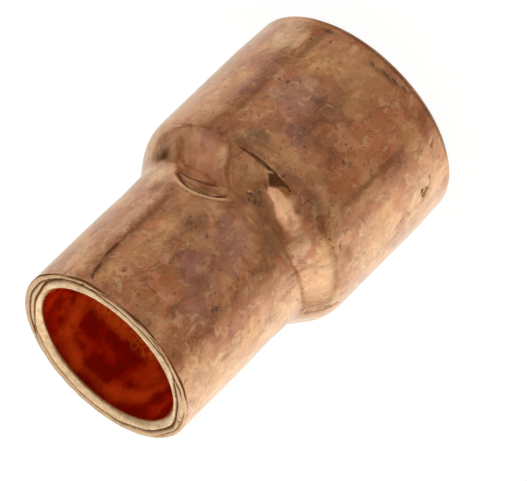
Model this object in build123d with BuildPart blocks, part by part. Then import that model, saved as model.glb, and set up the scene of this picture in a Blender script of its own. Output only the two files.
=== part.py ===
from build123d import *
import os
from math import radians, tan

os.makedirs("parts", exist_ok=True)

# Concentric copper reducer: a wide and a narrow solder socket on one axis.
#
# The fitting is one length of copper tube. One end is swaged down, the shoulder
# between the two ends is left as a cone with rounded corners, and each end is
# sized inside to take the outside of a copper tube.
#
# Frame: the large end's face lies on z = 0, centred on the origin, and +Z runs
# along the axis towards the small end. Millimetres.

# Driving dimensions
large_tube_diameter = 12.7  # outside diameter of the 1/2 in tube
small_tube_diameter = 9.525  # outside diameter of the 3/8 in tube
solder_gap = 0.10  # how much wider each socket is than its tube, across the diameter
large_wall = 0.93  # wall round the large socket
small_wall = 1.14  # wall round the small socket, thicker because it was swaged down
length = 22.8  # end face to end face
large_socket_depth = 9.75  # parallel bore that takes the large tube
small_socket_depth = 7.9  # from the small end's face to its tube stop
waterway_diameter = 8.8  # clear bore past the small tube stop
cone_angle = 33.5  # slope of the shoulder, measured from the axis

shoulder_radius = 2.5  # outside, where the cone runs into the large end
neck_radius = 0.75  # outside, where the cone meets the small end
throat_radius = 2.0  # inside, where the cone runs into the waterway
stop_radius = 0.15  # both corners of the small tube stop
large_rim_radius = 0.45  # outer edge of the large end, worn round
small_rim_radius = 0.12  # outer edge of the small end, nearly sharp
mouth_chamfer = 0.20  # inner edge of both ends

# Radii that follow from the tubes
large_socket_radius = (large_tube_diameter + solder_gap) / 2
small_socket_radius = (small_tube_diameter + solder_gap) / 2
large_outer_radius = large_socket_radius + large_wall
small_outer_radius = small_socket_radius + small_wall
waterway_radius = waterway_diameter / 2

# Heights of the section's corners, before they are rounded
slope = tan(radians(cone_angle))
corner_reach = tan(radians(cone_angle / 2))  # what a corner's arc takes off each side, per unit of radius
inner_shoulder_radius = shoulder_radius - large_wall
shoulder_height = large_socket_depth + shoulder_radius * corner_reach
neck_height = shoulder_height + (large_outer_radius - small_outer_radius) / slope
inner_shoulder_height = large_socket_depth + inner_shoulder_radius * corner_reach
throat_height = inner_shoulder_height + (large_socket_radius - waterway_radius) / slope
stop_height = length - small_socket_depth

# Corners of the wall's section as (radius, height), in order round it
large_mouth = (large_socket_radius, 0)
large_rim = (large_outer_radius, 0)
shoulder = (large_outer_radius, shoulder_height)
neck = (small_outer_radius, neck_height)
small_rim = (small_outer_radius, length)
small_mouth = (small_socket_radius, length)
stop_root = (small_socket_radius, stop_height)
stop_lip = (waterway_radius, stop_height)
throat = (waterway_radius, throat_height)
inner_shoulder = (large_socket_radius, inner_shoulder_height)

corners = [
    large_mouth,
    large_rim,
    shoulder,
    neck,
    small_rim,
    small_mouth,
    stop_root,
    stop_lip,
    throat,
    inner_shoulder,
]


def at(section, corner):
    """Return the section's vertex at a corner."""
    return section.vertices().sort_by_distance(corner)[0]


# The fitting: one wall section turned about the axis
with BuildPart() as reducer_body:
    with BuildSketch(Plane.XZ) as wall:
        with BuildLine():
            Polyline(*corners, close=True)
        make_face()
        fillet(at(wall, shoulder), shoulder_radius)
        fillet(at(wall, neck), neck_radius)
        fillet(at(wall, inner_shoulder), inner_shoulder_radius)
        fillet(at(wall, throat), throat_radius)
        fillet(at(wall, stop_root), stop_radius)
        fillet(at(wall, stop_lip), stop_radius)
        fillet(at(wall, large_rim), large_rim_radius)
        fillet(at(wall, small_rim), small_rim_radius)
        chamfer(at(wall, large_mouth), mouth_chamfer)
        chamfer(at(wall, small_mouth), mouth_chamfer)
    revolve(axis=Axis.Z)

reducer_body.part.label = "reducer_body"
export_step(reducer_body.part, "parts/reducer_body.step")
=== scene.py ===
from math import cos, pi, radians, sin, sqrt

import bpy
import numpy as np
from mathutils import Matrix, Vector, noise


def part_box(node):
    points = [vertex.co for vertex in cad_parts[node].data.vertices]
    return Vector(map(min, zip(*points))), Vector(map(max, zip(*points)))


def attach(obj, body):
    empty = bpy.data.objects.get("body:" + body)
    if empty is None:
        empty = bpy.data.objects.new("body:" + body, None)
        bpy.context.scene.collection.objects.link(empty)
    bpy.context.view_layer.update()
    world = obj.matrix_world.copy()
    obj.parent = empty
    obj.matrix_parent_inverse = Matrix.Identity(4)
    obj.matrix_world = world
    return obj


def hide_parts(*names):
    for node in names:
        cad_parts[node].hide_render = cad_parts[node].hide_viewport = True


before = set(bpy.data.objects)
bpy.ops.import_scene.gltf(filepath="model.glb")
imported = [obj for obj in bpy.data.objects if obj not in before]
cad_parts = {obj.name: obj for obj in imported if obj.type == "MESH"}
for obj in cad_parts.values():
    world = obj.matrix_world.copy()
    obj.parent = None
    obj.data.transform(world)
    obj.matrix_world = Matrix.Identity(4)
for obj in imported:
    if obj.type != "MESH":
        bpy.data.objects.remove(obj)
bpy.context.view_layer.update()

# The looks of a copper reducer: one detailed mesh that stands for the CAD wall, its material,
# a pale floor, soft light and the camera. Blender works in metres. Sizes here are in mm, unless
# a comment says otherwise.
#
# A place on the outside is given by two values: how far it is along the axis from the small
# end's face, in mm, and its angle round the axis, in degrees. Angle 0 faces the camera, and
# angles grow towards the side that shows lower right in the picture.

MM = 0.001
CAD_NODE = "reducer_body"
low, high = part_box(CAD_NODE)
length = (high.z - low.z) / MM

# ---------------------------------------------------------------- camera

VIEW_TILT = radians(28.3)  # how far above the floor the camera looks from
VIEW_ROLL = radians(225.4)  # turns the small end to the lower left
SENSOR_WIDTH = 36.0
FOCAL_LENGTH = 374.0  # long, so there is almost no perspective
DISTANCE = 0.3145  # from the middle of the axis, in metres
AIM_RIGHT = 1.81  # mm, from the middle of the axis to the picture's centre
AIM_UP = -0.45


def add_camera():
    """Place the camera in front of the part (-Y), above it, and rolled."""
    forward = Vector((0, cos(VIEW_TILT), -sin(VIEW_TILT)))
    level_right = Vector((1, 0, 0))
    level_up = level_right.cross(forward)
    right = level_right * cos(VIEW_ROLL) + level_up * sin(VIEW_ROLL)
    up = level_up * cos(VIEW_ROLL) - level_right * sin(VIEW_ROLL)
    middle = (low + high) / 2
    aim = middle + (right * AIM_RIGHT + up * AIM_UP) * MM
    place = Matrix((right, up, -forward)).transposed().to_4x4()
    place.translation = aim - forward * DISTANCE

    lens = bpy.data.cameras.new("camera")
    lens.lens = FOCAL_LENGTH
    lens.sensor_width = SENSOR_WIDTH
    camera = bpy.data.objects.new("camera", lens)
    camera.matrix_world = place
    bpy.context.scene.collection.objects.link(camera)
    bpy.context.scene.camera = camera


# ---------------------------------------------------------------- node helpers


def add(tree, kind, inputs=(), **settings):
    """Add a shader node. Each input is a number, a colour, or another node's output to link."""
    new = tree.nodes.new("ShaderNode" + kind)
    for name, value in settings.items():
        setattr(new, name, value)
    for name, value in dict(inputs).items():
        if isinstance(value, bpy.types.NodeSocket):
            tree.links.new(value, new.inputs[name])
        else:
            new.inputs[name].default_value = value
    return new


def calc(tree, operation, first, second=0.0):
    """Work out one Math operation on one or two values and return its output."""
    return add(tree, "Math", {0: first, 1: second}, operation=operation).outputs[0]


def times(tree, *factors):
    """Multiply values together."""
    product = factors[0]
    for factor in factors[1:]:
        product = calc(tree, "MULTIPLY", product, factor)
    return product


def opposite(tree, value):
    """1 where the value is 0, and 0 where it is 1."""
    return calc(tree, "SUBTRACT", 1.0, value)


def step_up(tree, value, start, end):
    """A value that rises smoothly from 0 at start to 1 at end."""
    inputs = {"Value": value, "From Min": start, "From Max": end}
    return add(tree, "MapRange", inputs, interpolation_type="SMOOTHSTEP").outputs["Result"]


def blend(tree, factor, first, second, how="MIX"):
    """Mix two colours."""
    new = add(tree, "Mix", data_type="RGBA", blend_type=how)
    colour_sockets = (new.inputs[0], new.inputs[6], new.inputs[7])  # the others mix plain numbers
    for socket, value in zip(colour_sockets, (factor, first, second)):
        if isinstance(value, bpy.types.NodeSocket):
            tree.links.new(value, socket)
        else:
            socket.default_value = value
    return new.outputs[2]


def ramp(tree, factor, stops):
    """A colour ramp through (place, colour) stops."""
    new = add(tree, "ValToRGB", {"Fac": factor})
    elements = new.color_ramp.elements
    while len(elements) < len(stops):
        elements.new(1)
    for element, (place, colour) in zip(elements, stops):
        element.position = place
        element.color = colour
    return new.outputs["Color"]


def grain(tree, where, size, detail, roughness=0.55, distortion=0.0):
    """Noise from 0 to 1 whose blotches are about size mm across."""
    inputs = {
        "Vector": where,
        "Scale": 1 / size,
        "Detail": detail,
        "Roughness": roughness,
        "Distortion": distortion,
    }
    return add(tree, "TexNoise", inputs).outputs["Fac"]


def painted(tree, name):
    """The value that the mesh holds at each point under this name."""
    return add(tree, "Attribute", attribute_name=name).outputs["Fac"]


# ---------------------------------------------------------------- light and floor


def grey(value):
    """A grey of this brightness."""
    return (value, value, value, 1)


def warm(value, more=0.0):
    """A warm white of this brightness, or with more a browner one."""
    return (value, value * (0.955 - more), value * (0.80 - 1.8 * more), 1)


# The panels below and above the horizon, by degrees round the axis from the camera's side
LOW_PANELS = [
    (-180, warm(0.80)),
    (-125, warm(0.70)),
    (-100, warm(0.50)),
    (-90, warm(0.04, 0.10)),
    (-78, warm(0.30, 0.08)),
    (-40, warm(0.34, 0.08)),
    (-22, warm(0.19, 0.10)),
    (38, warm(0.20, 0.10)),
    (58, warm(0.10, 0.10)),
    (80, warm(0.72)),
    (112, warm(0.98)),
    (150, warm(1.15)),
    (180, warm(0.85)),
]
HIGH_PANELS = [
    (-180, warm(0.95)),
    (-110, warm(0.50)),
    (-66, warm(0.20, 0.08)),
    (-10, warm(0.17, 0.10)),
    (52, warm(0.12, 0.10)),
    (72, warm(0.95)),
    (105, warm(1.30)),
    (150, warm(1.50)),
    (180, warm(0.95)),
]
# How bright the panels are by height, from -1 straight down to 1 straight up
STOREYS = [
    (-0.85, grey(0.12)),
    (-0.65, grey(1.0)),
    (-0.16, grey(1.0)),
    (-0.05, grey(0.30)),
    (0.06, grey(0.30)),
    (0.18, grey(1.0)),
]
HORIZON = (-0.05, 0.05)  # heights between which the low panels turn into the high ones
CEILING = (0.58, 0.88)  # heights between which the high panels turn into the ceiling
CEILING_LIGHT = warm(1.05)


def add_light_tent():
    """Surround the part with soft panels, dim towards the camera and bright at its sides and back.

    Low panels run once round the axis below the horizon and high panels above it: from behind
    the part by its left side, past the camera in the middle and back by its right side. They
    are dark underneath, with a dark line at the horizon. The ceiling is one soft white panel.
    """
    world = bpy.data.worlds.new("light_tent")
    world.use_nodes = True
    tree = world.node_tree
    tree.nodes.clear()
    direction = add(tree, "TexCoord").outputs["Generated"]
    parts = add(tree, "SeparateXYZ", {"Vector": direction})
    to_camera = times(tree, parts.outputs["Y"], -1.0)
    to_right = times(tree, parts.outputs["X"], -1.0)
    turn = calc(tree, "ARCTAN2", to_right, to_camera)
    azimuth = calc(tree, "ADD", calc(tree, "DIVIDE", turn, 2 * pi), 0.5)
    rise = parts.outputs["Z"]
    height = calc(tree, "ADD", times(tree, rise, 0.5), 0.5)

    low_panels = ramp(tree, azimuth, [(0.5 + degrees / 360, colour) for degrees, colour in LOW_PANELS])
    high_panels = ramp(tree, azimuth, [(0.5 + degrees / 360, colour) for degrees, colour in HIGH_PANELS])
    storeys = ramp(tree, height, [(0.5 + sine / 2, colour) for sine, colour in STOREYS])
    panels = blend(tree, step_up(tree, rise, *HORIZON), low_panels, high_panels)
    walls = blend(tree, 1.0, panels, storeys, "MULTIPLY")
    tent = blend(tree, step_up(tree, rise, *CEILING), walls, CEILING_LIGHT)
    light = add(tree, "Background", {"Color": tent})
    backdrop = add(tree, "Background", {"Color": grey(1.0)})
    seen = add(tree, "LightPath").outputs["Is Camera Ray"]
    either = add(tree, "MixShader", {0: seen, 1: light.outputs[0], 2: backdrop.outputs[0]})
    add(tree, "OutputWorld", {"Surface": either.outputs[0]})
    bpy.context.scene.world = world


FLOOR_HALF = 2.0  # metres from the part to the floor's edges
FLOOR_GREY = 0.08
FLOOR_GLOW = 0.95  # the floor's own light, which keeps it evenly pale


def add_floor():
    """A plain white floor that the part stands on."""
    mesh = bpy.data.meshes.new("floor")
    corners = [(x * FLOOR_HALF, y * FLOOR_HALF, low.z) for x, y in ((-1, -1), (1, -1), (1, 1), (-1, 1))]
    mesh.from_pydata(corners, [], [(0, 1, 2, 3)])
    floor = bpy.data.objects.new("floor", mesh)
    bpy.context.scene.collection.objects.link(floor)
    paint = bpy.data.materials.new("floor_white")
    paint.use_nodes = True
    shader = paint.node_tree.nodes["Principled BSDF"]
    shader.inputs["Base Color"].default_value = grey(FLOOR_GREY)
    shader.inputs["Roughness"].default_value = 0.9
    shader.inputs["Specular IOR Level"].default_value = 0.0
    shader.inputs["Emission Color"].default_value = grey(1.0)
    shader.inputs["Emission Strength"].default_value = FLOOR_GLOW
    mesh.materials.append(paint)
    floor.visible_glossy = False
    floor.visible_shadow = False


# ---------------------------------------------------------------- shape helpers


def ease(x):
    """0 below 0, 1 above 1, and a smooth step between."""
    x = np.clip(x, 0, 1)
    return x * x * (3 - 2 * x)


def within(x, start, end, fade):
    """1 from start to end, easing to 0 over fade on either side."""
    return ease((x - start) / fade + 1) * ease((end - x) / fade + 1)


def bell(x, width):
    """A soft bump of height 1 that is about width across on each side."""
    return np.exp(-((x / width) ** 2))


def wave(angle, height, count, shift=0):
    """A sine wave that runs count times round the axis."""
    return height * np.sin(np.radians(count * angle + shift))


def turned_from(angle, centre):
    """The angle measured from centre, between -180 and 180."""
    return (angle - centre + 180) % 360 - 180


def bent_line(angle, line):
    """Where a line round the outside runs along the axis.

    It goes through a place (along, angle), and from there it bends along the axis with the square
    of the angle. The line is (along, angle, bend).
    """
    along, middle, bend = line
    return along + bend * (angle - middle) ** 2


OCTAVES = 3


def rough(points, size, seed):
    """Smooth noise, about -1 to 1, whose waves are about size mm long."""
    shift = Vector((seed * 13.7, seed * 7.1, seed * 3.3))
    return np.array([noise.fractal(Vector(p) / size + shift, 1.0, 2.0, OCTAVES) for p in points])


# ---------------------------------------------------------------- the wall's section

CAD_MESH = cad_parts[CAD_NODE].data
FINE = 0.02  # step of the tables that the outline is read through
SHOULDER_SPAN = (8.5, 14.6)  # along the axis, where the CAD outline's facets are smoothed out
FACET_BLUR = 0.22
MOUTH_CHAMFER = 0.2  # at both mouths
BORE_RADIUS = 4.81  # of the small socket
SIDEWAYS = 0.05  # a CAD face whose normal leans outward less than this is no part of a side


def cad_side(outward):
    """Heights and radii of the CAD wall on its outer (+1) or inner (-1) side, low to high."""
    rings = {}
    for polygon in CAD_MESH.polygons:
        away = Vector((polygon.center.x, polygon.center.y, 0)).normalized()
        if polygon.normal.dot(away) * outward < SIDEWAYS:
            continue
        for index in polygon.vertices:
            point = CAD_MESH.vertices[index].co / MM
            height = round(point.z, 2)
            radius = sqrt(point.x**2 + point.y**2)
            rings[height] = max(rings.get(height, 0), radius)
    heights = sorted(rings)
    return np.array(heights), np.array([rings[h] for h in heights])


def smoothed_outside():
    """The outer side on a fine step, with its shoulder rounded between the CAD mesh's rings."""
    heights, radii = cad_side(+1)
    fine = np.arange(heights[0], heights[-1], FINE)
    fine = np.append(fine, heights[-1])
    radius = np.interp(fine, heights, radii)
    reach = np.arange(-3 * FACET_BLUR, 3 * FACET_BLUR + FINE, FINE)
    weights = bell(reach, FACET_BLUR)
    blurred = np.convolve(np.pad(radius, len(reach) // 2, "edge"), weights / weights.sum(), "valid")
    blurred = blurred[: len(radius)]
    along = length - fine
    start, end = SHOULDER_SPAN
    return fine, np.where((along > start) & (along < end), blurred, radius)


# The mesh's rings are closer together where there is more to show: at the rims, which are this
# wide, in the mouths, which are this deep, and in these spans along the axis, where the marks are.
RIM_WIDTH = 0.5
MOUTH_DEPTH = 0.6
MARKED_SPANS = ((1.4, 2.5), (8.3, 12.9), (19.4, 20.8), (21.4, 22.4))
FACE_PITCH = 0.045
RIM_PITCH = 0.055
MARKED_PITCH = 0.074
PLAIN_PITCH = 0.17
MOUTH_PITCH = 0.10
BORE_PITCH = 0.45


def pitch(side, along):
    """How far apart the mesh's rings are at a place on one side of the wall."""
    from_rim = min(along, length - along)
    if side == "face":
        return FACE_PITCH
    if side == "inside":
        return MOUTH_PITCH if from_rim < MOUTH_DEPTH else BORE_PITCH
    if from_rim < RIM_WIDTH:
        return RIM_PITCH
    marked = any(start < along < end for start, end in MARKED_SPANS)
    return MARKED_PITCH if marked else PLAIN_PITCH


def stretch(side, radii, heights):
    """Points along one run of the section, spaced by its pitch, without the last one."""
    steps = np.hypot(np.diff(radii), np.diff(heights))
    run = np.concatenate([[0], np.cumsum(steps)])
    fine = np.arange(0, run[-1], FINE)
    fine_heights = np.interp(fine, run, heights)
    shares = [FINE / pitch(side, length - height) for height in fine_heights[:-1]]
    count = np.concatenate([[0], np.cumsum(shares)])
    wanted = np.linspace(0, count[-1], int(round(count[-1])) + 1)[:-1]
    places = np.interp(wanted, count, fine)
    return [(side, np.interp(at, run, radii), np.interp(at, run, heights)) for at in places]


def section():
    """The closed outline of the wall: up the outside, over the small face, down the inside."""
    out_z, out_r = smoothed_outside()
    in_z, in_r = cad_side(-1)
    in_z, in_r = in_z[::-1], in_r[::-1]
    rows = stretch("outside", out_r, out_z)
    rows += stretch("face", np.array([out_r[-1], in_r[0]]), np.array([out_z[-1], in_z[0]]))
    rows += stretch("inside", in_r, in_z)
    rows += stretch("face", np.array([in_r[-1], out_r[0]]), np.array([in_z[-1], out_z[0]]))
    return rows


# ---------------------------------------------------------------- marks of forming and handling

# The swaging jaws left two flats side by side on the shoulder. The first runs down past the neck
# and digs into the small cylinder, which leaves a lens-shaped pocket under a sharp lip. The second
# ends in a deep fold against the large cylinder.

NECK = 8.5  # where the small cylinder ends, along the axis
SOFT_EDGE = 0.10  # rounds the edge where a flat meets the round
FLAT_SHARE = 0.85  # how much of its full cut the first flat takes
POCKET_DEPTH = 0.12
POCKET_LINE_DEPTH = 0.07
FOLD_DEPTH = 0.12
LIP_HEIGHT = 0.05
HOLLOW_DEPTH = 0.20
CREST_HEIGHT = 0.10
EDGE_RIDGE = 0.035  # height of the ridge along the edge between the flats
EDGE_CUT = 0.06
SIDE_CREASE_DEPTH = 0.09
TOP_CREASE_DEPTH = 0.012

# Lines round the outside, for bent_line: along, angle, bend
LIP = (8.80, -34, 0.0021)
BLADE = (9.36, -32, 0.0012)
UPPER_POCKET_LINE = (9.70, -42, 0.0009)
FOLD_TOP = (12.25, -11, -0.0005)
TOP_CREASE = (12.24, -62, -0.0009)
LOWEST_TOP_CREASE = 12.0


def flattened(angle, centre, half_width, radius):
    """How far a flat of this half width, in degrees, cuts into a round of this radius."""
    off = np.radians(turned_from(angle, centre))
    half = np.radians(half_width)
    flat = radius * np.cos(half) / np.cos(np.clip(off, -1, 1))
    depth = np.where(np.abs(off) < half, radius - flat, 0)
    return SOFT_EDGE - np.hypot(depth, SOFT_EDGE)


def first_flat(along, angle, radius):
    """How far the first flat cuts in, with the pocket at its lower end."""
    centre = -48 + 13 * ((11.6 - along) / 2.1) ** 2
    half_width = 21.5 - 2.5 * ease((10.2 - along) / 0.7)
    lip_width = 0.12 + 1.6 * ease((-47 - angle) / 16)
    past_lip = ease((along - bent_line(angle, LIP) - 0.02) / lip_width)
    before_top = 1 - ease((along - 11.1) / 1.2)
    from_left = ease((angle - centre + half_width) / 11)
    cut = FLAT_SHARE * flattened(angle, centre, half_width, radius) * from_left * (along > NECK)
    pocket = -POCKET_DEPTH * bell(along - 9.15, 0.35) * within(angle, -48, -20, 5)
    return (cut + pocket) * past_lip * before_top - POCKET_LINE_DEPTH * pocket_lines(along, angle)


def second_flat(along, angle, radius):
    """How far the second flat cuts in, right of the first. It widens up the shoulder."""
    half_width = 6.5 + 4.0 * (along - 10.4)
    return flattened(angle, -15.0, half_width, radius) * within(along, 10.6, 11.35, 0.85)


def edge_between_flats(along):
    """The angle of the sharp edge between the two flats."""
    return -27 + 9 * ((11.8 - along) / 1.5) ** 2


def pocket_lines(along, angle):
    """1 on the two thin dark lines in the pocket, on either side of the blade of metal inside it."""
    lower = bell(along - bent_line(angle, LIP) - 0.22, 0.09) * within(angle, -50, -17, 3)
    upper = bell(along - bent_line(angle, UPPER_POCKET_LINE), 0.06) * within(angle, -50, -26, 4)
    return np.maximum(lower, upper)


def fold_opening(along, angle, margin=0.0):
    """1 in the dark wedge of the fold, 0 outside it. It is thin on the left and opens to the right."""
    upper = bent_line(angle, FOLD_TOP) + margin
    lower = 12.17 - 0.52 * bell(angle + 3.0, 3.8) - margin
    return within(along, lower, upper, 0.05 + margin) * within(angle, -25, 4, 4)


def top_crease(along, angle):
    """1 on the thin line where the first flat ends against the large cylinder."""
    only_right = np.maximum(angle, TOP_CREASE[1])  # the line is straight on its left
    line = np.maximum(bent_line(only_right, TOP_CREASE), LOWEST_TOP_CREASE)
    return bell(along - line, 0.06) * within(angle, -68, -27, 3)


def lip_crest(along, angle):
    """1 on the crest of the lip, and less on the thin blade of metal inside the pocket."""
    crest = bell(along - bent_line(angle, LIP) + 0.06, 0.12) * within(angle, -46, -18, 10)
    blade = bell(along - bent_line(angle, BLADE), 0.08) * within(angle, -47, -22, 4)
    return crest + 0.45 * blade


def rim_shadow_line(along, angle):
    """About 1 on the painted shadow line along the camera's side of the small mouth's outer edge."""
    wander = wave(angle, 0.03, 7) + wave(angle, 0.02, 17, 50)
    strength = 0.85 + wave(angle, 0.30, 9, 80)
    return strength * bell(along - 0.10 - wander, 0.08) * within(angle, -95, 60, 12)


def shoulder_crest(along, angle):
    """The step right of the fold: a smooth hollow, then a raised crest that catches the light."""
    start = 11.16 - 0.62 * ease((angle - 1) / 15)
    climb = ease((along - start) / (11.80 - start))
    hollow = -HOLLOW_DEPTH * (1 - climb) * ease((along - 9.3) / 1.6)
    crest = CREST_HEIGHT * climb * (1 - ease((along - 11.85) / 1.1))
    return (hollow + crest) * ease((angle + 6) / 11) * (1 - ease((angle - 10) / 22))


def creases(along, angle):
    """Thin folds: between the two flats, on the shoulder's right side, and where the first flat ends."""
    between = angle - edge_between_flats(along)
    edge = EDGE_RIDGE * bell(between + 2.6, 1.6) - EDGE_CUT * bell(between, 0.7)
    edge = edge * within(along, 10.4, 11.8, 0.2)
    side = bell(angle - 80 + 0.8 * (along - 11.3), 1.1) * within(along, 10.8, 12.3, 0.3)
    return edge - SIDE_CREASE_DEPTH * side - TOP_CREASE_DEPTH * top_crease(along, angle)


FAR_FLATS = ((104, 13), (142, 17), (-170, 15), (-128, 12))  # angle, half width


def far_side_flats(along, angle, radius):
    """The gentler flats that the same jaws left where the camera doesn't look."""
    total = np.zeros_like(radius)
    for centre, half_width in FAR_FLATS:
        total += flattened(angle, centre, half_width, radius)
    return total * within(along, 9.9, 11.7, 0.5)


def spot(along, angle, radius, place, size, turn):
    """A soft oval at place (along, angle): size is (half length, half width) and turn is in degrees."""
    down = along - place[0]
    across = radius * np.radians(angle - place[1])
    c, s = cos(radians(turn)), sin(radians(turn))
    return np.exp(-(((down * c + across * s) / size[0]) ** 2) - ((across * c - down * s) / size[1]) ** 2)


def scrapes(seed, middle, spread, count, depth):
    """A cluster of short scratches round one place, from a fixed seed."""
    dice = np.random.default_rng(seed)
    marks = []
    for _ in range(count):
        place = (dice.normal(middle[0], spread[0]), dice.normal(middle[1], spread[1]))
        size = (dice.uniform(0.08, 0.22), dice.uniform(0.05, 0.08))
        marks.append((place, size, dice.uniform(-90, 90), depth * dice.uniform(0.6, 1.4)))
    return marks


# Clusters of scratches: seed, middle (along, angle), spread, how many, depth
SCRAPE_CLUSTERS = [
    (3, (20.0, 56.5), (0.35, 2.0), 8, 0.06),
    (4, (4.3, 23.0), (0.4, 3.0), 6, 0.03),
    (5, (10.9, -6.0), (0.35, 2.0), 6, 0.03),
    (6, (17.3, -33.0), (0.5, 3.0), 6, 0.03),
    (7, (14.5, -35.0), (0.7, 4.0), 7, 0.03),
    (8, (12.6, 16.0), (0.3, 8.0), 8, 0.03),
    (9, (7.0, -18.0), (0.5, 4.0), 8, 0.02),
    (10, (6.3, 20.0), (1.6, 5.0), 9, 0.03),
    (12, (16.0, 4.0), (2.2, 14.0), 12, 0.02),
    (13, (12.9, 38.0), (0.35, 5.0), 10, 0.02),
]
SCRAPES = [mark for cluster in SCRAPE_CLUSTERS for mark in scrapes(*cluster)]

# Pits and dents: (along, angle), (half length, half width), turn, depth. A negative depth is a bump.
DENTS = [
    ((2.06, -27.0), (0.11, 0.16), 0, 0.14),
    ((1.9, -24.0), (0.3, 0.1), 30, -0.03),
    ((20.08, 57.0), (0.42, 0.13), -40, 0.17),
    ((21.6, 37.2), (0.2, 0.07), -40, 0.08),
    ((21.75, 45.5), (0.14, 0.07), -40, 0.07),
    ((5.84, 21.5), (0.08, 0.4), 62, 0.05),
    ((3.3, 27.5), (0.9, 0.25), 10, 0.04),
    ((10.7, -71.0), (0.45, 0.35), 0, 0.03),
    ((3.8, -66.0), (0.5, 0.12), 12, 0.04),
    ((9.62, 2.0), (0.1, 0.55), -8, -0.05),
    ((21.88, 0.0), (0.1, 1.0), 11, 0.04),
]


KNOCKS = 110
KNOCKS_SEED = 11


def scattered_dents(along, angle, radius):
    """Small knocks all over the outside, from a fixed seed."""
    dice = np.random.default_rng(KNOCKS_SEED)
    total = np.zeros_like(radius)
    for _ in range(KNOCKS):
        place = (dice.uniform(0.8, length - 0.8), dice.uniform(-180, 180))
        size = (dice.uniform(0.10, 0.35), dice.uniform(0.07, 0.12))
        depth = dice.uniform(0.003, 0.010)
        total -= depth * spot(along, angle, radius, place, size, dice.uniform(-90, 90))
    return total


def outside_relief(along, angle, radius, points):
    """How far each point of the outside stands out from the CAD wall."""
    waist = -0.05 * bell(along - 8.0, 1.2) * within(angle, -90, 90, 60)
    taper = -0.10 * ease((along - 19.5) / 3.3)  # the large end narrows a little towards its rim
    relief = waist + taper
    relief += first_flat(along, angle, radius)
    relief += second_flat(along, angle, radius)
    relief += far_side_flats(along, angle, radius)
    relief += shoulder_crest(along, angle) + creases(along, angle)
    relief += LIP_HEIGHT * lip_crest(along, angle)
    relief -= FOLD_DEPTH * fold_opening(along, angle) * within(angle, -9, 4, 6)
    for place, size, turn, depth in DENTS + SCRAPES:
        relief -= depth * spot(along, angle, radius, place, size, turn)
    relief += scattered_dents(along, angle, radius)
    relief += 0.010 * rough(points, 3.2, seed=1)
    relief += 0.003 * rough(points, 0.9, seed=2)
    return relief


# The cut face has two cut lines. Both wander round the axis; the second runs only part of the way.
GROOVE_RADIUS = 5.42
GROOVE_WIDTH = 0.08
GROOVE_DEPTH = 0.16
SECOND_RADIUS = 5.70
SECOND_WIDTH = 0.075
SECOND_DEPTH = 0.08
FACE_PIT_DEPTH = 0.10
INNER_BAND_HEIGHT = 0.05
OUTER_BAND_HEIGHT = 0.04


def groove_radius(angle):
    """How far from the axis the first cut line runs on the small end's face."""
    wander = wave(angle, 0.04, 5, 30) + wave(angle, 0.03, 13)
    outward = 0.46 * bell(turned_from(angle, -5), 52)
    inward = 0.28 * bell(angle - 62, 26) + 0.20 * bell(angle + 105, 30)
    return GROOVE_RADIUS + outward - inward + wander


def second_radius(angle):
    """How far from the axis the second cut line runs."""
    wander = wave(angle, 0.03, 6) + wave(angle, 0.02, 17)
    return SECOND_RADIUS - 0.19 * bell(angle + 5, 42) - 0.18 * bell(angle + 108, 30) + wander


def second_line(radius, angle):
    """1 on the second cut line, and less where it is fainter."""
    left = within(angle, -135, 48, 14)
    right = 0.7 * within(angle, 72, 110, 10)
    return bell(radius - second_radius(angle), SECOND_WIDTH) * np.maximum(left, right)


# Small pits in the cut face: (radius, angle), size
FACE_PITS = [
    ((5.44, -78), 0.09),
    ((5.62, -70), 0.07),
    ((5.80, -40), 0.08),
    ((5.56, 81), 0.09),
    ((5.52, 93), 0.07),
    ((5.60, 75), 0.06),
    ((5.30, 150), 0.05),
]


def face_spot(radius, angle, place, size):
    """A soft round spot on the end face."""
    across = radius * np.radians(angle - place[1])
    return np.exp(-((radius - place[0]) ** 2 + across**2) / size**2)


def small_face_relief(radius, angle, points):
    """How far the small end's face stands out: two rolled bands with the cut lines between them."""
    inner, outer = radius.min(), radius.max()
    line = groove_radius(angle)
    relief = INNER_BAND_HEIGHT * bell(radius - (inner + line) / 2, 0.18)
    relief += OUTER_BAND_HEIGHT * bell(radius - (line + outer) / 2, 0.14)
    relief -= GROOVE_DEPTH * bell(radius - line, GROOVE_WIDTH)
    relief -= SECOND_DEPTH * second_line(radius, angle)
    for place, size in FACE_PITS:
        relief -= FACE_PIT_DEPTH * face_spot(radius, angle, place, size)
    return relief + 0.022 * rough(points, 0.5, seed=5)


# ---------------------------------------------------------------- the mesh


COLUMNS = 320
CROWDING = 0.45  # how much closer the columns stand on the camera's side


def out_of_wall(row_r, row_z):
    """The unit direction out of the wall at each point of its section, away from the axis and up."""
    ahead_r = np.roll(row_r, -1) - np.roll(row_r, 1)
    ahead_z = np.roll(row_z, -1) - np.roll(row_z, 1)
    size = np.hypot(ahead_r, ahead_z)
    return ahead_z / size, -ahead_r / size


def spun(radius, height, angle):
    """The points at this radius, height and angle round the axis."""
    way = np.radians(angle)
    return np.stack([-radius * np.sin(way), -radius * np.cos(way), height], axis=1)


def wall_relief(side, small_face, along, angle, radius, points):
    """How far each point of the mesh stands out from the CAD wall."""
    outside = side == "outside"
    inside = side == "inside"
    relief = np.zeros(len(points))
    relief[outside] = outside_relief(along[outside], angle[outside], radius[outside], points[outside])
    relief[inside] = 0.012 * rough(points[inside], 2.2, seed=8) * ease(along[inside] / 0.8)
    relief[small_face] = small_face_relief(radius[small_face], angle[small_face], points[small_face])
    return relief


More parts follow.
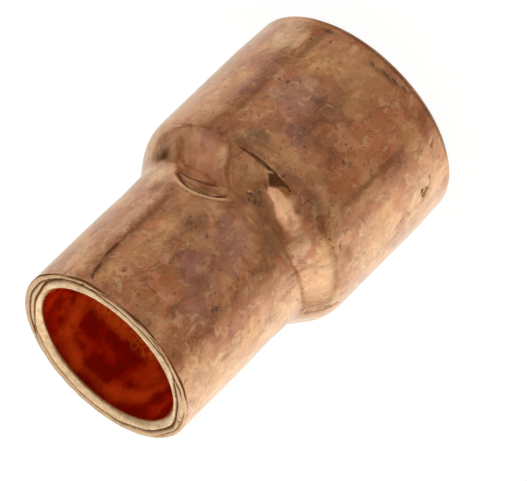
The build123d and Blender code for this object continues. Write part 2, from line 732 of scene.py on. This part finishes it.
def build_reducer():
    """Turn the section round the axis, press the marks into it, and paint its zones."""
    rows = section()
    row_side = np.array([side for side, _, _ in rows])
    row_r = np.array([r for _, r, _ in rows])
    row_z = np.array([z for _, _, z in rows])
    out_r, out_z = out_of_wall(row_r, row_z)

    turn = np.linspace(-pi, pi, COLUMNS, endpoint=False)
    turn = turn - CROWDING * np.sin(turn)
    angle = np.tile(np.degrees(turn), len(rows))
    side = np.repeat(row_side, COLUMNS)
    radius = np.repeat(row_r, COLUMNS)
    height = np.repeat(row_z, COLUMNS)
    along = length - height
    small_face = (side == "face") & (along < 1)

    relief = wall_relief(side, small_face, along, angle, radius, spun(radius, height, angle))
    radius = radius + np.repeat(out_r, COLUMNS) * relief
    height = np.maximum(height + np.repeat(out_z, COLUMNS) * relief, low.z / MM)
    points = spun(radius, height, angle) * MM

    first = np.arange(len(points)).reshape(len(rows), COLUMNS)
    next_row = np.roll(first, -1, axis=0)
    corners = [first, np.roll(first, -1, axis=1), np.roll(next_row, -1, axis=1), next_row]
    faces = np.stack(corners, axis=-1).reshape(-1, 4)

    mesh = bpy.data.meshes.new("copper_reducer")
    mesh.from_pydata(points.tolist(), [], faces.tolist())
    mesh.polygons.foreach_set("use_smooth", np.ones(len(faces), bool))
    paint_zones(mesh, along, angle, radius, side, small_face)
    mesh.update()
    reducer = bpy.data.objects.new("copper_reducer", mesh)
    bpy.context.scene.collection.objects.link(reducer)
    return reducer


def store(mesh, name, values):
    """Keep one value for each point of the mesh, for its material to read."""
    layer = mesh.attributes.new(name, "FLOAT", "POINT")
    layer.data.foreach_set("value", values.astype(np.float32))


# What colours the outside, by place: (along, angle), (half length, half width), turn, strength.
# Stains are dark and dull: real stains, painted shadow in the fold and in a pit, and a painted dark
# reflection in the neck's hollow. Shades are darker brown patches: some are real tone of the oxide,
# and some are painted shade and painted dark reflections. Worn spots are pale and dull: real wear,
# and painted highlights on the crest and in the fold. The others are tints of the oxide, and a few
# cream spots are painted highlights.
PAINT = {}
PAINT["stain_and_shadow"] = [
    ((19.95, 54.5), (0.45, 0.06), -40, 0.9),
    # Painted shadow in the fold and on the step above it: this spot and the ones at (11.95, -2.5),
    # (12.14, -3.0), (11.75, -6.0) and (12.12, -13.0).
    ((11.45, -4.5), (0.16, 0.4), 25, 0.6),
    ((11.95, -2.5), (0.25, 0.55), 0, 1.0),
    ((10.62, -70.0), (0.45, 0.8), 0, 0.75),
    ((12.14, -3.0), (0.07, 0.9), 0, 1.0),
    ((11.75, -6.0), (0.3, 0.16), 20, 0.5),
    ((12.12, -13.0), (0.06, 0.9), 0, 1.0),
    ((7.04, -18.2), (0.9, 0.55), 25, 0.5),
    ((3.8, -66.0), (0.6, 0.1), 12, 0.75),
    ((8.0, -54.8), (0.6, 0.5), 0, 0.35),
    ((4.26, 23.0), (0.35, 0.3), 30, 0.6),
    ((2.04, 15.0), (0.3, 0.3), 0, 0.45),
    ((5.84, 21.5), (0.06, 0.4), 62, 0.8),
    ((21.98, -37.0), (0.3, 0.7), 0, 0.7),
    ((21.74, -9.0), (0.12, 0.48), 12, 0.64),
    ((21.84, -2.5), (0.14, 0.52), 10, 0.7),
    ((21.94, 3.0), (0.13, 0.46), 12, 0.74),
    ((22.08, 8.5), (0.12, 0.42), 16, 0.64),
    ((11.5, 12.0), (0.08, 0.28), 35, 0.5),
    ((17.5, -32.0), (0.16, 0.16), 0, 0.9),
    ((21.34, -31.8), (0.14, 0.14), 0, 0.9),
    ((17.46, -14.5), (0.4, 0.4), 30, 0.45),
    ((15.3, 7.8), (0.14, 0.14), 0, 0.8),
    ((16.7, 7.8), (0.14, 0.14), 0, 0.8),
    ((3.0, -42.5), (1.3, 0.2), 0, 0.85),
    ((1.3, -40.0), (0.8, 0.2), -15, 0.85),
    ((0.7, -38.2), (0.45, 0.16), -40, 0.8),
    # Painted shadow in the pit at (2.06, -27.0).
    ((2.06, -27.0), (0.1, 0.15), 0, 0.9),
    # Painted dark reflection along the hollow of the neck: this spot and the next.
    ((10.32, 46.0), (0.13, 1.1), -6, 0.55),
    ((9.95, 64.0), (0.13, 0.5), -25, 0.5),
    ((12.6, 33.0), (0.08, 0.8), 20, 0.6),
    ((8.9, 31.0), (0.8, 0.4), 30, 0.5),
]
PAINT["shade"] = [
    # Painted shade in the fold.
    ((11.0, -5.0), (0.45, 0.65), 20, 1.0),
    # Painted dark reflection along the hollow of the neck.
    ((10.4, 44.0), (1.0, 0.16), 0, 0.8),
    ((3.8, 53.0), (0.8, 0.28), 10, 0.7),
    ((7.4, 57.0), (0.5, 0.4), 20, 0.7),
    ((13.2, 48.0), (0.4, 0.8), -10, 0.8),
    ((14.6, 38.0), (0.9, 0.4), 0, 0.6),
    ((18.2, 60.0), (0.9, 0.25), 0, 0.6),
    ((11.6, 47.0), (0.5, 0.12), 10, 0.6),
    ((9.2, 52.0), (0.9, 0.15), -10, 0.6),
    ((19.0, 47.0), (1.6, 0.14), 0, 0.5),
    ((4.5, 44.0), (2.2, 0.14), 5, 0.5),
    ((6.4, 62.0), (1.4, 0.2), -8, 0.5),
    ((16.6, 66.0), (1.8, 0.2), 8, 0.5),
    ((16.2, -9.0), (2.2, 0.8), 0, 0.65),
    ((12.75, 3.0), (0.55, 1.1), -15, 0.9),
    ((12.8, 14.0), (0.5, 1.3), 0, 0.9),
    ((12.5, 27.0), (0.35, 1.0), 15, 0.7),
    ((13.8, 12.0), (1.0, 1.6), -20, 0.45),
    ((13.3, -20.0), (0.8, 0.9), 0, 0.8),
    ((21.75, -2.0), (0.25, 1.3), -8, 1.0),
    ((11.15, 18.0), (0.35, 0.4), 30, 0.8),
    ((11.75, 15.0), (0.12, 0.5), -20, 0.6),
    ((4.8, 7.0), (2.2, 0.7), 0, 0.6),
    ((4.5, 52.0), (1.6, 0.25), 0, 0.5),
    ((2.0, 9.0), (0.8, 0.6), 20, 0.45),
    ((10.2, 8.0), (0.6, 0.7), 0, 0.9),
    ((19.5, 61.0), (1.4, 0.3), 0, 0.6),
    ((12.6, -28.0), (0.35, 0.8), 0, 0.9),
    ((10.6, 2.0), (0.5, 0.9), 0, 0.8),
    ((9.7, 17.0), (0.9, 1.2), 10, 0.9),
    ((8.5, 27.0), (0.9, 0.6), 0, 0.7),
    ((5.0, 27.0), (2.6, 0.35), 0, 0.6),
    ((7.0, -18.0), (1.1, 0.9), 25, 1.0),
    ((8.0, -54.8), (0.6, 0.5), 0, 0.7),
    ((10.7, -71.0), (0.7, 1.3), 0, 0.9),
    ((6.0, -41.5), (2.6, 0.28), 0, 0.8),
    ((2.0, -40.5), (1.8, 0.32), 0, 0.9),
    # The next three are painted dark reflections: long streaks along the axis.
    ((16.0, -40.5), (3.4, 0.24), 0, 0.75),
    ((20.6, -37.5), (1.8, 0.32), 0, 0.9),
    ((17.0, 28.0), (3.6, 0.26), 0, 0.8),
    ((17.6, -14.0), (0.5, 0.5), 30, 0.7),
    ((15.4, -1.0), (0.9, 0.8), 0, 0.5),
    ((19.6, -12.0), (1.6, 0.5), 0, 0.5),
]
PAINT["worn"] = [
    # Painted highlight on the crest right of the fold: this spot and the one at (11.4, 2.5).
    ((11.6, 8.0), (0.34, 0.8), -10, 0.55),
    ((20.3, 58.5), (0.22, 0.1), -40, 0.8),
    ((11.4, 2.5), (0.14, 0.35), -10, 0.55),
    # A painted glint in the fold.
    ((12.06, -7.8), (0.05, 0.3), -20, 0.9),
    ((11.16, -29.2), (0.4, 0.1), 8, 0.4),
    ((9.62, 2.0), (0.08, 0.55), -8, 0.45),
    ((2.3, 23.0), (0.9, 0.12), -8, 0.45),
    # Painted highlight on the raised rim of the pit.
    ((1.75, -26.0), (0.1, 0.35), 10, 0.4),
    ((20.6, -44.5), (1.3, 0.4), 0, 0.55),
    ((20.2, 55.0), (0.5, 0.14), -40, 0.5),
    ((8.6, -60.0), (0.5, 0.5), 0, 0.35),
    ((11.2, -12.0), (0.3, 0.35), 0, 0.25),
]
PAINT["gold"] = [
    ((4.9, -29.0), (2.6, 0.9), 0, 0.9),
    ((8.6, -10.0), (0.5, 0.9), 0, 0.5),
    ((11.2, -33.0), (0.9, 0.5), 0, 0.7),
    ((19.6, -28.0), (1.9, 1.3), 0, 0.7),
    ((1.6, -34.0), (1.4, 0.9), 0, 0.8),
    ((20.6, -22.0), (1.6, 1.6), 0, 0.7),
    ((20.5, -36.0), (1.2, 0.6), 0, 0.6),
    ((20.4, 26.0), (1.2, 1.2), 0, 0.8),
    ((16.5, -44.0), (2.5, 0.3), 0, 0.6),
    ((1.6, -51.0), (1.5, 0.8), 0, 0.9),
    ((2.4, 66.0), (1.2, 0.6), 0, 0.9),
    ((6.0, 50.0), (1.0, 0.7), 0, 0.9),
    ((1.8, 39.0), (1.6, 0.7), 0, 1.0),
    ((12.0, 40.0), (0.7, 0.9), 0, 0.9),
    ((11.2, 16.0), (0.4, 0.8), 0, 0.9),
    ((17.0, 48.0), (1.4, 0.7), 0, 0.9),
]
PAINT["cream"] = [
    # Painted highlights: on the first flat by its crease, and on the raised rim of the pit (the next
    # spot).
    ((11.25, -31.5), (0.55, 0.5), 0, 1.0),
    ((2.0, -24.5), (0.45, 0.4), 0, 0.8),
    ((10.9, -42.0), (0.4, 0.7), 0, 0.6),
    ((9.0, -42.0), (0.35, 1.2), 0, 0.8),
    ((3.0, 62.0), (3.6, 1.9), 0, 1.0),
    ((8.5, 60.0), (3.0, 1.9), 0, 0.9),
    ((9.2, 47.0), (0.8, 0.9), 0, 1.0),
    ((11.0, 29.0), (0.7, 0.9), 0, 0.9),
    ((11.4, 55.0), (1.3, 1.9), 0, 1.0),
    ((11.4, 70.0), (1.3, 1.6), 0, 0.9),
    ((15.5, 56.0), (2.6, 2.0), 0, 0.9),
    ((20.0, 58.0), (2.6, 2.2), 0, 0.9),
    # Painted highlight on the crest right of the fold.
    ((11.2, 8.0), (0.35, 0.8), -10, 0.9),
    ((20.8, -52.0), (1.8, 1.4), 0, 0.8),
    ((1.8, -58.0), (1.6, 1.2), 0, 0.7),
    ((5.0, -50.0), (3.0, 0.6), 0, 0.8),
    ((1.2, 48.0), (1.4, 0.8), 0, 1.0),
    ((20.6, -46.0), (1.5, 0.6), 0, 1.0),
    ((9.2, -62.0), (0.9, 1.2), 0, 0.8),
    ((4.5, 78.0), (3.0, 0.9), 0, 1.0),
]
PAINT["mauve"] = [
    ((3.4, 12.0), (1.5, 1.5), 0, 0.8),
    ((4.6, 4.0), (2.4, 2.2), 0, 0.7),
    ((4.6, -66.0), (1.2, 0.8), 0, 0.8),
    ((5.6, 70.0), (0.9, 0.5), 0, 0.6),
    ((5.2, -4.0), (1.0, 1.2), 0, 0.7),
    ((7.3, 6.0), (2.2, 1.5), 0, 0.9),
    ((8.4, -6.0), (0.9, 0.6), 0, 0.8),
    ((3.0, 24.0), (1.6, 0.5), 0, 0.6),
    ((16.9, -24.0), (1.6, 2.2), 0, 0.8),
    ((15.0, -10.0), (1.6, 1.4), 0, 0.6),
    ((17.0, -45.0), (3.0, 1.0), 0, 0.6),
]
PAINT["orange"] = [
    ((2.6, -4.0), (1.4, 2.0), 0, 0.9),
    ((3.0, -22.0), (1.2, 0.8), 0, 0.6),
    ((10.6, -40.0), (0.9, 1.5), 0, 0.9),
    ((5.5, -36.0), (2.2, 0.6), 0, 0.7),
    ((18.5, 15.0), (3.0, 1.6), 0, 0.9),
    ((15.2, 18.0), (1.3, 1.1), 0, 0.8),
    ((21.0, 5.0), (1.0, 2.6), 0, 0.5),
]
PAINT["olive"] = [
    ((13.3, -23.0), (0.7, 0.8), 0, 0.9),
    ((10.7, -3.0), (0.5, 0.6), 0, 0.8),
    ((11.2, -15.0), (0.7, 0.8), 0, 0.6),
    ((11.2, 14.0), (0.3, 0.5), 0, 0.7),
    ((17.8, -8.0), (1.6, 0.9), 0, 0.5),
    ((9.6, 22.0), (0.9, 0.9), 0, 0.5),
    ((11.2, 27.0), (0.5, 0.5), 0, 0.5),
    ((12.9, 36.0), (0.4, 0.8), 0, 0.5),
]
TINTS = ("cream", "gold", "mauve", "orange", "olive")


FAR_SIDE = (85, 275)  # the angles that the camera doesn't see
FAR_TINTS = 16  # how many spots of each tint are there
FAR_TINTS_SEED = 20


def scattered_tints(seed):
    """Places for one tint on the sides that the camera doesn't see."""
    dice = np.random.default_rng(seed)
    spots = []
    for _ in range(FAR_TINTS):
        place = (dice.uniform(1, length - 1), dice.uniform(*FAR_SIDE))
        size = (dice.uniform(0.8, 2.4), dice.uniform(0.6, 1.8))
        spots.append((place, size, 0, dice.uniform(0.5, 0.9)))
    return spots


def bore_glow(depth, angle):
    """1 on the painted ring of lighter orange reflected light that surrounds a darker middle on the
    bore's far wall.
    """
    across = BORE_RADIUS * np.radians(turned_from(angle, 180)) / 3.5
    ring = np.hypot((depth - 2.75) / 1.9, across)
    return bell(ring - 1.0, 0.30)


def bore_sparks(depth, angle):
    """1 on the deepest part of the bore's far wall that the camera sees past the mouth's edge, where
    painted glints go.
    """
    start = 4.0 * np.cos(np.radians(angle - 180))
    return within(angle % 360, 162, 207, 10) * ease((depth - start) / 0.6) * (depth < 6.5)


def strongest(along, angle, radius, spots):
    """The strength of the strongest of some spots at each point."""
    values = np.zeros(len(along))
    for place, size, turn, strength in spots:
        values = np.maximum(values, strength * spot(along, angle, radius, place, size, turn))
    return values


def outside_zones(along, angle, radius):
    """Where the outside has stains and painted shadow, shades, wear and painted highlights, tints and
    burnish: values by name.
    """
    zones = {name: strongest(along, angle, radius, spots) for name, spots in PAINT.items()}
    dark_scrapes = [(place, size, turn, 0.9) for place, size, turn, _ in SCRAPES]
    # Real dark scrapes, and painted shadow in the fold's wedge, in the lines of the pocket under the
    # lip, in the crease where the first flat ends, and along the small mouth's rim.
    dark_lines = [
        strongest(along, angle, radius, dark_scrapes),
        0.85 * fold_opening(along, angle, margin=0.03),
        pocket_lines(along, angle),
        0.5 * top_crease(along, angle),
        rim_shadow_line(along, angle),
    ]
    zones["stain_and_shadow"] = np.maximum.reduce([zones["stain_and_shadow"]] + dark_lines)

    # Painted shade: in the pocket under the lip, and on the camera's side of the rounded far rim.
    past_lip = ease((along - bent_line(angle, LIP)) / 0.1) * (1 - ease((along - 9.8) / 0.5))
    in_pocket = past_lip * within(angle, -50, -20, 4)
    far_rim = bell(along - length + 0.35, 0.16) * within(angle, -45, 40, 25)
    zones["shade"] = np.maximum.reduce([zones["shade"], 0.45 * in_pocket, 0.8 * far_rim])
    # Painted highlight along the crest of the lip, and less on the blade inside the pocket.
    zones["worn"] = np.maximum(zones["worn"], 0.7 * lip_crest(along, angle))
    zones["burnished"] = within(along, 9.2, 11.9, 0.4) * within(angle, -62, -5, 6)
    for number, name in enumerate(TINTS):
        unseen = strongest(along, angle, radius, scattered_tints(FAR_TINTS_SEED + number))
        zones[name] = np.maximum(zones[name], unseen)
    return zones


def small_face_zones(radius, angle):
    """Where the small end's face has its dark lines and pits, darkened with painted shade in their
    hollows, and where its outer band is.
    """
    marks = [face_spot(radius, angle, place, size) for place, size in FACE_PITS]
    marks.append(bell(radius - groove_radius(angle), GROOVE_WIDTH))
    marks.append(0.95 * second_line(radius, angle))
    band_start = np.minimum(groove_radius(angle), second_radius(angle))
    return {"stain_and_shadow": np.maximum.reduce(marks), "outer_band": ease((radius - band_start) / 0.08)}


def paint_zones(mesh, along, angle, radius, side, small_face):
    """Store on the mesh, for its material, which surface each point is on and what marks it has."""
    outside = side == "outside"
    inside = side == "inside"
    from_rim = np.minimum(along, length - along)
    in_bore = inside & (from_rim > MOUTH_CHAMFER + FINE)
    zones = {
        "bore": in_bore,
        "cut_face": ~outside & ~in_bore,
        "bore_depth": np.where(inside, from_rim, 0),
        # Painted light in the bore: a ring of reflected orange and a few glints.
        "glow": np.where(inside, bore_glow(along, angle), 0),
        "sparks": np.where(inside, bore_sparks(along, angle), 0),
    }
    on_outside = outside_zones(along[outside], angle[outside], radius[outside])
    on_face = small_face_zones(radius[small_face], angle[small_face])
    for chosen, found in ((outside, on_outside), (small_face, on_face)):
        for name, values in found.items():
            zones.setdefault(name, np.zeros(len(along)))[chosen] = values
    for name, values in zones.items():
        store(mesh, name, values)


# ---------------------------------------------------------------- copper

CLOUD_COLOURS = [
    (0.36, (0.45, 0.138, 0.05, 1)),
    (0.42, (0.6, 0.195, 0.072, 1)),
    (0.49, (0.66, 0.225, 0.084, 1)),
    (0.52, (0.76, 0.285, 0.113, 1)),
    (0.59, (0.8, 0.32, 0.13, 1)),
    (0.63, (0.9, 0.415, 0.184, 1)),
]
PATCH_COLOURS = [
    (0.0, (0.46, 0.143, 0.059, 1)),
    (0.3, (0.72, 0.212, 0.075, 1)),
    (0.6, (0.7, 0.276, 0.109, 1)),
    (1.0, (0.92, 0.415, 0.159, 1)),
]
TINT_COLOURS = {
    "cream": (0.98, 0.56, 0.3, 1),
    "gold": (0.96, 0.46, 0.17, 1),
    "mauve": (0.56, 0.22, 0.16, 1),
    "orange": (0.8, 0.25, 0.09, 1),
    "olive": (0.46, 0.23, 0.09, 1),
}
DARK_OXIDE_AND_SHADOW = (0.11, 0.04, 0.017, 1)
SHADE_BROWN = (0.26, 0.105, 0.05, 1)
PALE_SPOT = (1.0, 0.6, 0.32, 1)
PALE_COPPER = (0.95, 0.58, 0.32, 1)
CUT_COPPER = (0.92, 0.62, 0.36, 1)
OUTER_BAND = (0.74, 0.43, 0.19, 1)
CUT_STREAK = (0.55, 0.28, 0.12, 1)
CUT_GOLD = (0.66, 0.36, 0.12, 1)
CUT_SCRATCH = (0.3, 0.13, 0.05, 1)
CUT_LINE = (0.11, 0.038, 0.015, 1)
# The bore's colours are painted light: deep red for light bounced inside the copper, orange reflected
# light, glints, and shade by the mouth.
BORE_SHADED_RED = (0.4, 0.012, 0.001, 1)
BORE_BOUNCED_RED = (0.66, 0.026, 0.002, 1)
BORE_REFLECTED_ORANGE = (1.0, 0.125, 0.012, 1)
BORE_GLINT = (1.0, 0.29, 0.035, 1)
MOUTH_SHADE_BROWN = (0.2, 0.008, 0.002, 1)
ROUGHNESS = 0.24
DULL_ROUGHNESS = 0.10  # added where the oxide is dull
MARK_ROUGHNESS = 0.25  # added on stains and worn spots
METAL = 0.55
MARK_METAL = 0.35  # taken away on stains and worn spots
COAT_ROUGHNESS = 0.17
COAT_IOR = 2.2  # a strong, metal-like gloss over the oxide
BUMP_HEIGHT = 0.000010  # metres
BUMP_STRENGTH = 0.4


def ragged(tree, value, noise, amount, start, end):
    """A painted value with its soft edge broken up by noise."""
    shifted = times(tree, calc(tree, "SUBTRACT", noise, 0.5), amount)
    return step_up(tree, calc(tree, "ADD", value, shifted), start, end)


def contour(tree, noise, level, width):
    """1 on the thin wandering line where the noise crosses a level."""
    away = calc(tree, "ABSOLUTE", calc(tree, "SUBTRACT", noise, level))
    return opposite(tree, step_up(tree, away, 0.0, width))


def vary(tree, colour, value, start, end, amount):
    """Make a colour darker and richer where a value is near start, lighter and paler near end."""
    span = {"Value": value, "From Min": start, "From Max": end}
    light = add(tree, "MapRange", {**span, "To Min": 1 - amount, "To Max": 1 + amount})
    rich = add(tree, "MapRange", {**span, "To Min": 1 + amount / 3, "To Max": 1 - amount / 3})
    inputs = {"Color": colour, "Value": light.outputs["Result"], "Saturation": rich.outputs["Result"]}
    return add(tree, "HueSaturation", inputs).outputs["Color"]


def patchwork(tree, where, size, seed):
    """A random value from 0 to 1 that is the same all over each of many warped patches."""
    noise_inputs = {"Vector": where, "Scale": 1.6 / size, "Detail": 1.5}
    swirl = add(tree, "TexNoise", noise_inputs).outputs["Color"]
    push = add(tree, "VectorMath", {0: swirl, "Scale": 1.5 * size}, operation="SCALE").outputs[0]
    warped = add(tree, "VectorMath", {0: where, 1: push}, operation="ADD").outputs[0]
    offset = {0: warped, 1: (seed, seed, seed)}
    moved = add(tree, "VectorMath", offset, operation="ADD").outputs[0]
    patches = add(tree, "TexVoronoi", {"Vector": moved, "Scale": 1 / size}).outputs["Color"]
    return add(tree, "SeparateColor", {"Color": patches}).outputs[0]


def oxide_patches(tree, in_mm, drawn, edges):
    """The oxide's colour: clouds and warped patches mixed, with the painted tints over them."""
    clouds = grain(tree, drawn, 1.9, detail=3, roughness=0.52, distortion=0.5)
    large_patches = ramp(tree, patchwork(tree, in_mm, 1.6, seed=3.0), PATCH_COLOURS)
    colour = blend(tree, 0.55, ramp(tree, clouds, CLOUD_COLOURS), large_patches)
    uneven = calc(tree, "ADD", times(tree, patchwork(tree, in_mm, 1.0, seed=7.0), 0.60), 0.30)
    for name in TINTS:
        mask = ragged(tree, painted(tree, name), edges, 1.1, 0.25, 0.65)
        colour = blend(tree, times(tree, mask, uneven), colour, TINT_COLOURS[name])
    return vary(tree, colour, patchwork(tree, in_mm, 0.65, seed=11.0), 0.0, 1.0, 0.15)


def oxide_marks(tree, colour, in_mm, drawn):
    """Lay pale spots and dark hairlines and specks over a colour, except where it is burnished."""
    calm = opposite(tree, painted(tree, "burnished"))
    busy = times(tree, step_up(tree, grain(tree, in_mm, 1.7, detail=2), 0.44, 0.58), calm)
    pale_spots = step_up(tree, grain(tree, in_mm, 0.7, detail=2, distortion=0.8), 0.57, 0.68)
    colour = blend(tree, times(tree, pale_spots, calm, 0.50), colour, PALE_SPOT)
    scribble = contour(tree, grain(tree, in_mm, 0.70, detail=1.5, distortion=1.5), 0.5, 0.034)
    dashes = step_up(tree, grain(tree, in_mm, 0.35, detail=1), 0.48, 0.58)
    colour = blend(tree, times(tree, scribble, busy, dashes, 0.60), colour, DARK_OXIDE_AND_SHADOW)
    long_lines = contour(tree, grain(tree, drawn, 2.2, detail=2.5, distortion=0.6), 0.47, 0.007)
    colour = blend(tree, times(tree, long_lines, calm, 0.48), colour, DARK_OXIDE_AND_SHADOW)
    specks = step_up(tree, grain(tree, in_mm, 0.22, detail=1), 0.70, 0.73)
    colour = blend(tree, times(tree, specks, busy, 0.55), colour, DARK_OXIDE_AND_SHADOW)
    return vary(tree, colour, grain(tree, in_mm, 0.20, detail=3, roughness=0.6), 0.3, 0.7, 0.05)


def cut_colour(tree, in_mm):
    """Bare bright copper with streaks, golden patches, scratches, and the dark lines and pits painted as
    shade in the grooves.
    """
    colour = blend(tree, painted(tree, "outer_band"), CUT_COPPER, OUTER_BAND)
    streaks = step_up(tree, grain(tree, in_mm, 0.35, detail=4), 0.40, 0.60)
    colour = blend(tree, times(tree, streaks, 0.55), colour, CUT_STREAK)
    golden = step_up(tree, grain(tree, in_mm, 1.4, detail=3), 0.50, 0.62)
    colour = blend(tree, times(tree, golden, 0.50), colour, CUT_GOLD)
    scratches = contour(tree, grain(tree, in_mm, 0.9, detail=2), 0.5, 0.02)
    colour = blend(tree, times(tree, scratches, 0.45), colour, CUT_SCRATCH)
    return blend(tree, painted(tree, "stain_and_shadow"), colour, CUT_LINE)


def bore_colour(tree, in_mm):
    """Painted light: deep red bounced light, a painted orange ring of reflected light, a few painted
    gold glints, and painted shade just inside the mouth.
    """
    swirls = grain(tree, in_mm, 1.4, detail=3, roughness=0.5, distortion=0.2)
    glow = ragged(tree, painted(tree, "glow"), swirls, 3.0, 0.10, 1.30)
    colour = blend(tree, step_up(tree, swirls, 0.42, 0.60), BORE_SHADED_RED, BORE_BOUNCED_RED)
    colour = blend(tree, glow, colour, BORE_REFLECTED_ORANGE)
    sparks = step_up(tree, grain(tree, in_mm, 0.30, detail=3, roughness=0.6), 0.42, 0.60)
    colour = blend(tree, times(tree, sparks, painted(tree, "sparks")), colour, BORE_GLINT)
    near_mouth = step_up(tree, painted(tree, "bore_depth"), 1.1, 0.2)
    return blend(tree, times(tree, near_mouth, 0.5), colour, MOUTH_SHADE_BROWN)


def set_finish(tree, shader, in_mm, dulled, shade):
    """Make the copper part metal and part glossy oxide: duller on its marks, matt in the bore."""
    dull = step_up(tree, grain(tree, in_mm, 0.8, detail=4), 0.35, 0.70)
    roughness = calc(tree, "ADD", times(tree, dull, DULL_ROUGHNESS), ROUGHNESS)
    roughness = calc(tree, "ADD", roughness, times(tree, dulled, MARK_ROUGHNESS))
    tree.links.new(roughness, shader.inputs["Roughness"])
    outside_bore = opposite(tree, painted(tree, "bore"))
    polished = calc(tree, "SUBTRACT", METAL, times(tree, dulled, MARK_METAL))
    tree.links.new(times(tree, polished, outside_bore), shader.inputs["Metallic"])
    matt = calc(tree, "MAXIMUM", dulled, times(tree, shade, 0.5))
    glossy = times(tree, opposite(tree, matt), outside_bore)
    tree.links.new(glossy, shader.inputs["Coat Weight"])
    shader.inputs["Specular IOR Level"].default_value = 0.0
    shader.inputs["Coat Roughness"].default_value = COAT_ROUGHNESS
    shader.inputs["Coat IOR"].default_value = COAT_IOR


def copper_material():
    """Handled, oxidised copper outside; bare bright copper on the cut faces; deep red painted light in
    the bore.
    """
    material = bpy.data.materials.new("copper")
    material.use_nodes = True
    tree = material.node_tree
    shader = tree.nodes["Principled BSDF"]
    where = add(tree, "TexCoord").outputs["Object"]
    in_mm = add(tree, "Mapping", {"Vector": where, "Scale": (1000, 1000, 1000)}).outputs[0]
    drawn = add(tree, "Mapping", {"Vector": where, "Scale": (1000, 1000, 600)}).outputs[0]
    edges = grain(tree, in_mm, 0.55, detail=4, roughness=0.55)
    shade = ragged(tree, painted(tree, "shade"), edges, 0.9, 0.10, 0.90)
    stain_and_shadow = ragged(tree, painted(tree, "stain_and_shadow"), edges, 0.7, 0.25, 0.75)
    worn = ragged(tree, painted(tree, "worn"), edges, 0.5, 0.15, 0.60)
    # The colour of the stains and of the painted shadow.
    crust_and_shadow = vary(tree, DARK_OXIDE_AND_SHADOW, edges, 0.35, 0.65, 0.45)

    outer = oxide_patches(tree, in_mm, drawn, edges)
    outer = oxide_marks(tree, outer, in_mm, drawn)
    # Painted shade, stains with painted shadow, and wear with painted highlights, laid over the oxide.
    outer = blend(tree, times(tree, shade, 0.62), outer, SHADE_BROWN)
    outer = blend(tree, times(tree, stain_and_shadow, 0.90), outer, crust_and_shadow)
    outer = blend(tree, times(tree, worn, 0.85), outer, PALE_COPPER)
    colour = blend(tree, painted(tree, "cut_face"), outer, cut_colour(tree, in_mm))
    colour = blend(tree, painted(tree, "bore"), colour, bore_colour(tree, in_mm))
    tree.links.new(colour, shader.inputs["Base Color"])

    dulled = calc(tree, "MAXIMUM", stain_and_shadow, times(tree, worn, 0.7))
    set_finish(tree, shader, in_mm, dulled, shade)
    bump_inputs = {"Height": edges, "Distance": BUMP_HEIGHT, "Strength": BUMP_STRENGTH}
    bump = add(tree, "Bump", bump_inputs)
    tree.links.new(bump.outputs["Normal"], shader.inputs["Normal"])
    return material


# ---------------------------------------------------------------- assembly

bpy.context.scene.view_settings.view_transform = "Standard"
add_camera()
add_light_tent()
add_floor()

reducer = build_reducer()
reducer.data.materials.append(copper_material())
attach(reducer, "root")
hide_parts(CAD_NODE)
